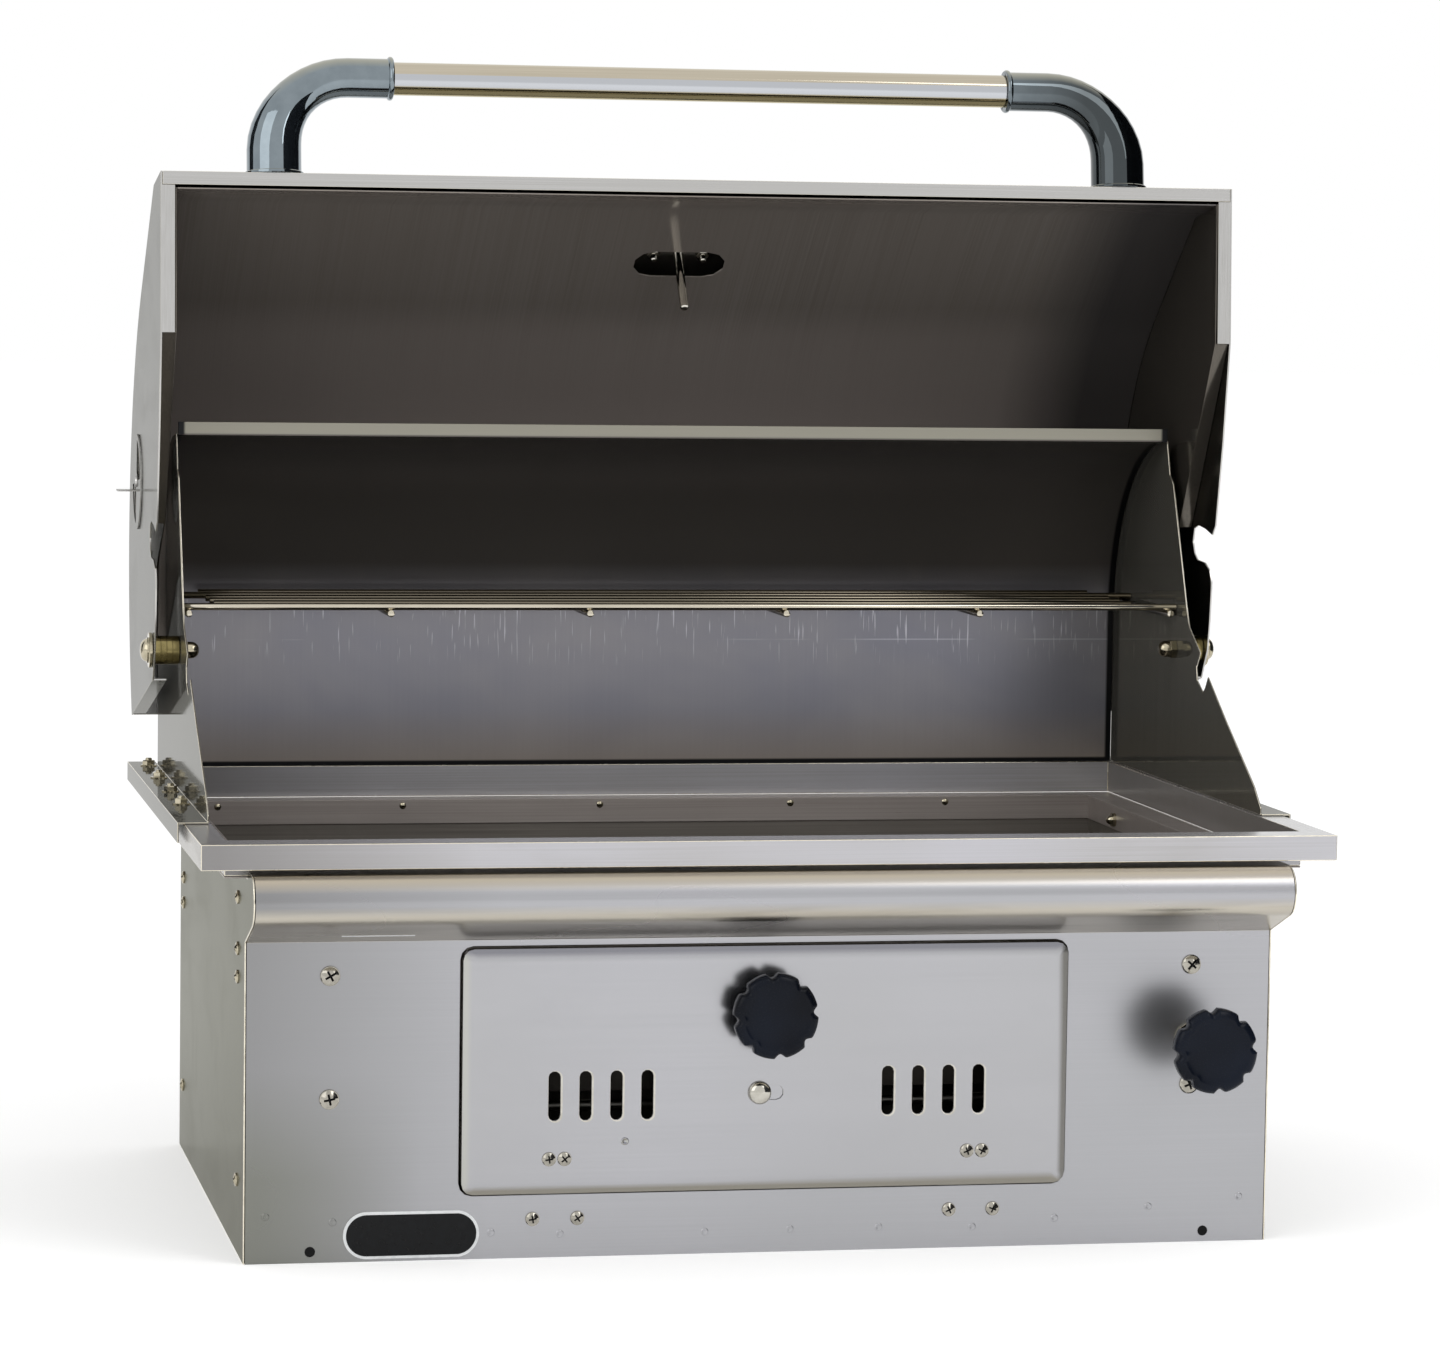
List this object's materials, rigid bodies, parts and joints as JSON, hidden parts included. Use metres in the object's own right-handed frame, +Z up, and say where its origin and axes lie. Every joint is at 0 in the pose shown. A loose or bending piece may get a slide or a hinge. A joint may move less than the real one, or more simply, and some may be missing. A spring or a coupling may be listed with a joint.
{
  "type": "built-in charcoal grill",
  "caption": "Steel charcoal grill that drops into a counter, with an open double-walled hood, warming rack, fuel door with air slide and a crank that lifts the charcoal tray.",
  "frame": {"origin": "centre of the cabinet's flat underside", "axes": "+X to the right of someone who faces the fuel door, +Y to the back, +Z up"},
  "size_m": [0.866, 0.6168, 0.866],
  "materials": {
    "front_panel": "satin brushed",
    "side_panel": "satin brushed",
    "back_panel": "satin brushed",
    "base_panel": "satin brushed",
    "trim_frame": "satin brushed",
    "grate_frame": "satin brushed",
    "firebox_liner": "dull",
    "hinge_plate": "satin brushed",
    "rear_shell": "satin brushed",
    "warming_rack": "polished wire",
    "hood_skin": "satin brushed",
    "hood_side": "satin brushed",
    "hood_liner": "satin brushed",
    "hood_side_liner": "satin brushed",
    "handle_tube": "satin brushed",
    "handle_elbow": "polished",
    "hood_damper": "satin brushed",
    "thermometer_case": "polished",
    "thermometer_dial": "matte",
    "thermometer_glass": "clear",
    "thermometer_needle": "satin",
    "thermometer_stem": "polished",
    "hinge_bolt": "polished",
    "hinge_spacer": "tarnished",
    "hinge_nut": "polished",
    "door_panel": "satin brushed",
    "door_hinge": "satin",
    "door_strap": "satin",
    "air_slide": "satin",
    "slide_guide": "satin",
    "air_slide_stud": "polished",
    "knob": "satin",
    "latch": "zinc plated",
    "lift_screw": "zinc plated",
    "crank_bushing": "turned",
    "lift_guide": "dull",
    "cam_plate": "dull",
    "cross_bar": "drawn bar",
    "charcoal_tray": "dull",
    "ash_pan": "satin",
    "pan_rail": "dull"
  },
  "bodies": {
    "cabinet": {"ash_pan": "ash_pan", "back_panel": "back_panel", "base_panel": "base_panel", "crank_bushing": "crank_bushing", "door_hinge_left": "door_hinge", "door_hinge_right": "door_hinge", "firebox_liner": "firebox_liner", "front_panel": "front_panel", "grate_frame": "grate_frame", "hinge_bolt_left": "hinge_bolt", "hinge_bolt_right": "hinge_bolt", "hinge_nut_left": "hinge_nut", "hinge_nut_right": "hinge_nut", "hinge_spacer_left": "hinge_spacer", "hinge_spacer_right": "hinge_spacer", "left_hinge_plate": "hinge_plate", "left_side_panel": "side_panel", "lift_guide_left": "lift_guide", "lift_guide_right": "lift_guide", "pan_rail_left": "pan_rail", "pan_rail_right": "pan_rail", "rear_shell": "rear_shell", "right_hinge_plate": "hinge_plate", "right_side_panel": "side_panel", "trim_frame": "trim_frame", "warming_rack": "warming_rack"},
    "hood": {"hood_skin": "hood_skin", "hood_left_side": "hood_side", "hood_right_side": "hood_side", "hood_liner": "hood_liner", "hood_left_liner": "hood_side_liner", "hood_right_liner": "hood_side_liner", "handle_tube": "handle_tube", "handle_elbow_left": "handle_elbow", "handle_elbow_right": "handle_elbow", "thermometer_case": "thermometer_case", "thermometer_dial": "thermometer_dial", "thermometer_glass": "thermometer_glass", "thermometer_stem": "thermometer_stem"},
    "needle": {"thermometer_needle": "thermometer_needle"},
    "left_damper": {"left_hood_damper": "hood_damper"},
    "right_damper": {"right_hood_damper": "hood_damper"},
    "door": {"door_panel": "door_panel", "slide_guide_lower": "slide_guide", "slide_guide_upper": "slide_guide", "door_strap_left": "door_strap", "door_strap_right": "door_strap"},
    "latch": {"door_knob": "knob", "latch_shaft": "latch", "latch_cam": "latch"},
    "slide": {"air_slide": "air_slide", "air_slide_stud": "air_slide_stud"},
    "crank": {"crank_knob": "knob", "lift_screw": "lift_screw"},
    "carriage": {"cam_plate_left": "cam_plate", "cam_plate_right": "cam_plate", "cross_bar_front": "cross_bar", "cross_bar_back": "cross_bar"},
    "tray": {"charcoal_tray": "charcoal_tray"}
  },
  "joints": [
    {"name": "hood_hinge", "type": "hinge", "parent": "cabinet", "child": "hood", "pos_m": [0, 0.0744, 0.4128], "axis": [1, 0, 0], "range_deg": [0, 97.5]},
    {"name": "left_damper_turn", "type": "hinge", "parent": "hood", "child": "left_damper", "pos_m": [-0.4165, 0.20954, 0.53545], "axis": [1, 0, 0], "range_deg": [0, 90]},
    {"name": "right_damper_turn", "type": "hinge", "parent": "hood", "child": "right_damper", "pos_m": [0.4165, 0.20954, 0.53545], "axis": [1, 0, 0], "range_deg": [0, 90]},
    {"name": "needle_turn", "type": "hinge", "parent": "hood", "child": "needle", "pos_m": [0, 0.13881, 0.72239], "axis": [0, -0.599, -0.8007], "range_deg": [0, 270]},
    {"name": "door_hinge", "type": "hinge", "parent": "cabinet", "child": "door", "pos_m": [0, -0.251, 0.0504], "axis": [1, 0, 0], "range_deg": [0, 90]},
    {"name": "latch_turn", "type": "hinge", "parent": "door", "child": "latch", "pos_m": [0, -0.256, 0.177], "axis": [0, 1, 0], "range_deg": [0, 90]},
    {"name": "air_slide_travel", "type": "slide", "parent": "door", "child": "slide", "axis": [1, 0, 0], "range_m": [0, 0.0115]},
    {"name": "crank_turn", "type": "hinge", "parent": "cabinet", "child": "crank", "pos_m": [0.317, -0.249, 0.152], "axis": [0, -1, 0], "range_deg": [0, 3600]},
    {"name": "carriage_travel", "type": "slide", "parent": "cabinet", "child": "carriage", "axis": [0, 1, 0], "range_m": [0, 0.1]},
    {"name": "tray_lift", "type": "slide", "parent": "cabinet", "child": "tray", "axis": [0, 0, 1], "range_m": [0, 0.0801]}
  ],
  "couplings": [
    {"joint": "crank_turn", "follows": "carriage_travel", "rad_per_m": 628.32},
    {"joint": "tray_lift", "follows": "carriage_travel", "ratio": 0.8}
  ]
}
